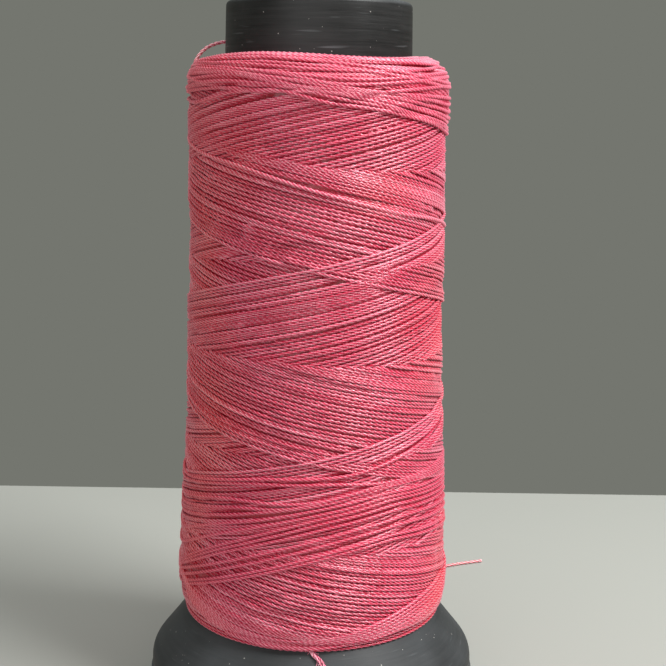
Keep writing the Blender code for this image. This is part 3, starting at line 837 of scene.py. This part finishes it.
def bake_strips(mesh, sides):
    """A UV map in strips: ring after ring of a thread along each strip, the ring's sides across it."""
    corners = np.empty(len(mesh.loops), np.int64)
    starts = np.empty(len(mesh.polygons), np.int64)
    totals = np.empty(len(mesh.polygons), np.int64)
    mesh.loops.foreach_get("vertex_index", corners)
    mesh.polygons.foreach_get("loop_start", starts)
    mesh.polygons.foreach_get("loop_total", totals)
    ring, side = np.divmod(corners, sides)
    first = np.repeat(np.minimum.reduceat(ring, starts), totals)
    span = np.maximum.reduceat(side, starts) - np.minimum.reduceat(side, starts)
    side = np.where((np.repeat(span, totals) > 1) & (side == 0), sides, side)
    rings = len(mesh.vertices) // sides
    in_row = math.ceil(math.sqrt(rings * (sides + 1)))
    rows = math.ceil(rings / in_row)
    u = (first % in_row + ring - first) / in_row
    v = (first // in_row * (sides + 1) + side + 0.5) / (rows * (sides + 1))
    layer = mesh.uv_layers.new(name="OFBake")
    layer.data.foreach_set("uv", np.stack((u, v), axis=1).astype(np.float32).ravel())


def stretch_length(points):
    """Length of a stretch of thread."""
    return float(np.linalg.norm(np.diff(points, axis=0), axis=1).sum())


def lots_of(stretches, most):
    """The stretches in lots that are no longer than a piece's faces allow."""
    whole = sum(stretch_length(points) for points in stretches)
    share = whole / math.ceil(whole / most)
    lots = [[]]
    length = 0.0
    for points in stretches:
        if length > share:
            lots.append([])
            length = 0.0
        lots[-1].append(points)
        length += stretch_length(points)
    return lots


def mark_gap_shade(mesh, face):
    """Mark how far each point of a mesh lies below the winding's face, from 0 on it to 1 in a gap. The
    thread's material darkens by this mark: painted shade in the gaps.
    """
    spots = np.empty(3 * len(mesh.vertices))
    mesh.vertices.foreach_get("co", spots)
    x, y, z = spots.reshape(-1, 3).T
    rows, columns = grid_cells(np.arctan2(y, x), z)
    lean = 1.0 / np.hypot(1.0, np.gradient(package_side(GRID_HEIGHTS), GRID_STEP))
    depth = (face[rows, columns] - np.hypot(x, y)) * lean[rows]
    depth = np.minimum(depth, PACKAGE_TOP - z)
    sunk = mesh.attributes.new("sunk", "FLOAT", "POINT")
    sunk.data.foreach_set("value", np.clip(depth / GAP_SHADE_DEPTH, 0.0, 1.0).astype(np.float32))


def bed_mesh(name, bed):
    """The inner layers as one closed sleeve. Its face runs just under the outer threads, so that the
    gaps between them end on thread and not in the dark."""
    top = PACKAGE_TOP - BED_TOP_SINK * LOOSE_WIDTH
    heights = np.arange(top, FOOT_HEIGHT + BED_FOOT_RISE, -BED_ROWS * GRID_STEP)
    columns = np.arange(0, GRID_ANGLES, BED_COLUMNS)
    rows = np.round((heights - GRID_FOOT) / GRID_STEP).astype(int)
    stem = barrel_radius(heights)
    outer = np.maximum(bed[rows][:, columns], stem[:, None] + 2 * BARREL_CLEAR)
    low = stem[-1] + 4 * BARREL_CLEAR
    edge = np.ones((1, len(columns)))
    radius = np.concatenate(((stem[0] + BARREL_CLEAR) * edge, outer, low * edge))
    level = np.concatenate(([top], heights, [bell_height(low) + BARREL_CLEAR]))[:, None] * edge
    angle = columns * math.tau / GRID_ANGLES
    points = np.stack((radius * np.cos(angle), radius * np.sin(angle), level), axis=2)
    rings, around = level.shape
    ring, side = np.divmod(np.arange(rings * around), around)
    step_ring = np.stack((ring, ring + 1, ring + 1, ring), axis=1)
    step_side = np.stack((side, side, side + 1, side + 1), axis=1)
    faces = step_ring % rings * around + step_side % around
    mesh = bpy.data.meshes.new(name)
    mesh.from_pydata(points.reshape(-1, 3).tolist(), [], faces.tolist())
    mesh.shade_smooth()
    layer = mesh.uv_layers.new(name="OFBake")
    strips = np.stack((step_side / around, step_ring / rings), axis=2)
    layer.data.foreach_set("uv", strips.astype(np.float32).ravel())
    return mesh


def thread_package(tree, material, under):
    """The wound thread, in pieces of about equal length, and the inner layers as a sleeve beneath it, in
    a darker copy of the thread's material as painted shade.
    """
    machine, loose, face, bed = wound_threads()
    kinds = (
        ("thread_turns", machine, THREAD_WIDTH, TWIST_PITCH, WOUND_SIDES),
        ("loose_turns", loose, LOOSE_WIDTH, LOOSE_TWIST_PITCH, LOOSE_SIDES),
    )
    first = True
    for kind, stretches, width, pitch, sides in kinds:
        spacing = pitch / RINGS_PER_PITCH
        most = PIECE_FACES / (PLIES * sides) * spacing
        for number, group in enumerate(lots_of(stretches, most), 1):
            name = f"{kind}_{number}"
            mesh = twisted_mesh(name, tree, group, material, width, PLY_DEPTH, pitch, spacing, sides)
            # Mark the depth that the thread's material turns into painted shade in the gaps.
            mark_gap_shade(mesh, face)
            piece = link_mesh(name, mesh, material, "spool")
            if first:
                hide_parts("thread_winding")
                first = False
    # The sleeve wears the darker copy of the thread: painted shade in the gaps.
    piece = link_mesh("thread_bed", bed_mesh("thread_bed", bed), under, "spool")
    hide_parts("thread_core")


def smooth_route(route, spacing):
    """Evenly spaced points on a smooth curve through the route's own points."""
    route = np.array(route, float)
    ends = np.concatenate(([2 * route[0] - route[1]], route, [2 * route[-1] - route[-2]]))
    fine = []
    for p0, p1, p2, p3 in zip(ends, ends[1:], ends[2:], ends[3:]):
        for t in np.arange(ROUTE_STEPS) / ROUTE_STEPS:
            fine.append(0.5 * (2 * p1 + (p2 - p0) * t + (2 * p0 - 5 * p1 + 4 * p2 - p3) * t * t
                               + (3 * p1 - p0 - 3 * p2 + p3) * t ** 3))
    fine = np.array(fine + [route[-1]])
    run = np.concatenate(([0.0], np.cumsum(np.linalg.norm(np.diff(fine, axis=0), axis=1))))
    steps = np.linspace(0.0, run[-1], max(2, round(run[-1] / spacing)) + 1)
    return np.stack([np.interp(steps, run, fine[:, axis]) for axis in range(3)], axis=1)


def running_end(tree, material):
    """The free end: round the back of the barrel, down the back and along the surface to its cut."""
    points = smooth_route(np.array(RUNNING_END_ROUTE) * MM, RUNNING_END_STEP)
    mesh = twisted_mesh("running_end_thread", tree, [points], material, THREAD_DIAMETER, PLY_DEPTH,
                        TWIST_PITCH, RUNNING_END_RING, LOOSE_END_SIDES)
    piece = link_mesh("running_end_thread", mesh, material, "spool")
    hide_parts("running_end")


def start_tail(tree, material):
    """The thread's first end, lying on the bell in front of the package, its plies opening to a fray."""
    route = []
    for out, angle in zip(START_TAIL_OUT, START_TAIL_ANGLES):
        radius = CORE_HIGH.x + out * MM
        height = bell_height(radius, -THREAD_DIAMETER / 2)
        route.append((radius * math.sin(angle), -radius * math.cos(angle), height))
    points = smooth_route(route, START_TAIL_STEP)
    share = np.linspace(0.0, 1.0, len(points))
    forward = np.gradient(points, axis=0)
    forward /= np.linalg.norm(forward, axis=1)[:, None]
    across = np.cross(forward, (0.0, -math.sin(BELL_SLOPE), math.cos(BELL_SLOPE)))
    across /= np.linalg.norm(across, axis=1)[:, None]
    upward = np.cross(across, forward)
    strands = []
    for ply in range(PLIES):
        turns = ply / PLIES - START_TAIL_TURNS * share + START_TAIL_UNTWIST * share ** 2
        phase = math.tau * turns[:, None]
        apart = (THREAD_DIAMETER / 4 + START_TAIL_OPENING * share ** 3)[:, None]
        aside = np.cos(phase) * across + START_TAIL_FLATNESS * np.sin(phase) * upward
        strands.append(points + apart * aside)
    mesh = twisted_mesh("start_tail_thread", tree, strands, material, START_PLY_WIDTH, START_PLY_DEPTH,
                        START_PLY_PITCH, START_PLY_RING, LOOSE_END_SIDES)
    tail = link_mesh("start_tail_thread", mesh, material, "spool")
    random = np.random.default_rng(WINDING_SEED)
    reach = np.linspace(0.0, 1.0, FRAY_POINTS)[:, None]
    fibres = []
    for strand in strands:
        for _ in range(FRAY_FIBRES):
            start = strand[random.integers(len(strand) // 3, len(strand) - 2)]
            aside = across[-1] * random.normal(0.0, FRAY_ASIDE)
            aside = aside + upward[-1] * random.uniform(0.0, FRAY_UPWARD)
            length = random.uniform(*FRAY_LENGTHS) * MM
            fibres.append(start + length * (reach * forward[-1] + reach ** 2 * aside))
    mesh = twisted_mesh("start_tail_fray", tree, fibres, material, FIBRE_WIDTH, 0.0,
                        TWIST_PITCH, FRAY_RING, FRAY_SIDES)
    fray = link_mesh("start_tail_fray", mesh, material, "spool")
    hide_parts("start_tail")


def stage(name, corners, material):
    """A flat sheet of the stage."""
    mesh = bpy.data.meshes.new(name)
    mesh.from_pydata(corners, [], [range(len(corners))])
    thing = link_mesh(name, mesh, material, None)


def sheet(near, far):
    """Corners of a level sheet as wide as the stage, from near to far."""
    wide = STAGE_REACH
    return [(-wide, near, 0), (wide, near, 0), (wide, far, 0), (-wide, far, 0)]


def studio():
    """A pale floor before darker paper, a soft key from the upper right, a top light and a fill."""
    stage("floor", sheet(-STAGE_REACH, FLOOR_BACK), plain_paper("floor_paper", FLOOR_COLOUR))
    behind = plain_paper("backdrop_paper", BACKDROP)
    nodes = behind.node_tree.nodes
    shown_evenly(behind.node_tree, nodes["Material Output"], nodes["Principled BSDF"], BACKDROP)
    stage("floor_behind", sheet(FLOOR_BACK, STAGE_REACH), behind)
    for name, place, size, power in LAMPS:
        lamp = bpy.data.lights.new(name, "AREA")
        lamp.size = size
        lamp.energy = power
        thing = bpy.data.objects.new(name, lamp)
        thing.location = place
        aim = Vector(LAMP_AIM) - Vector(place)
        thing.rotation_euler = aim.to_track_quat("-Z", "Y").to_euler()
        bpy.context.scene.collection.objects.link(thing)
    world = bpy.data.worlds.new("studio")
    world.use_nodes = True
    tree = world.node_tree
    light = tree.nodes["Background"]
    light.inputs["Color"].default_value = linear(SKY_COLOUR)
    light.inputs["Strength"].default_value = SKY_STRENGTH
    shown_evenly(tree, tree.nodes["World Output"], light, BACKDROP)
    bpy.context.scene.world = world


def photograph_camera():
    """Camera at the photograph's angle: a little above the package, looking down on the foot."""
    lens = bpy.data.cameras.new("camera")
    lens.lens = CAMERA_LENS
    lens.sensor_width = SENSOR_WIDTH
    lens.clip_start = CLIP_START
    eye = bpy.data.objects.new("camera", lens)
    eye.location = (CAMERA_ASIDE, -CAMERA_DISTANCE, CAMERA_HEIGHT)
    tilt = Matrix.Rotation(QUARTER - CAMERA_PITCH, 3, "X")
    eye.rotation_euler = (tilt @ Matrix.Rotation(CAMERA_ROLL, 3, "Z")).to_euler()
    bpy.context.scene.collection.objects.link(eye)
    bpy.context.scene.camera = eye


def main():
    """Camera and cord first, then the stage, the mouldings and the package."""
    photograph_camera()
    pink = waxed_thread("waxed_polyester_thread", ("#bc0030", "#e45272", "#feb4c2"),
                        ("#c0001c", "#ea585f", "#feb0b2"))
    worn = waxed_thread("worn_polyester_thread", ("#b83258", "#ec7a95", "#ffd3dc"),
                        ("#bc3442", "#ee7c84", "#ffd3d4"))
    tree = twist_tree()
    running_end(tree, worn)
    studio()
    black = moulded_polystyrene("black_moulded_polystyrene",
                                [(0.25, "#0b0b0b"), (0.75, "#292929")], 0.04 * MM)
    base_black = moulded_polystyrene("black_moulded_base",
                                     [(0.2, "#242627"), (0.8, "#3a3d3f")], 0.01 * MM)
    # A darker copy of the thread for the inner layers, which show only in the gaps: painted shade.
    inner_shaded_copy = waxed_thread("waxed_polyester_thread_inner_shaded", ("#a00022", "#bc1a3e", "#d04a66"),
                        ("#a40012", "#c01a2c", "#d44c54"))
    spool_body(black)
    snap_base(base_black)
    thread_package(tree, pink, inner_shaded_copy)
    start_tail(tree, worn)
    bpy.context.scene.view_settings.view_transform = "Standard"


main()
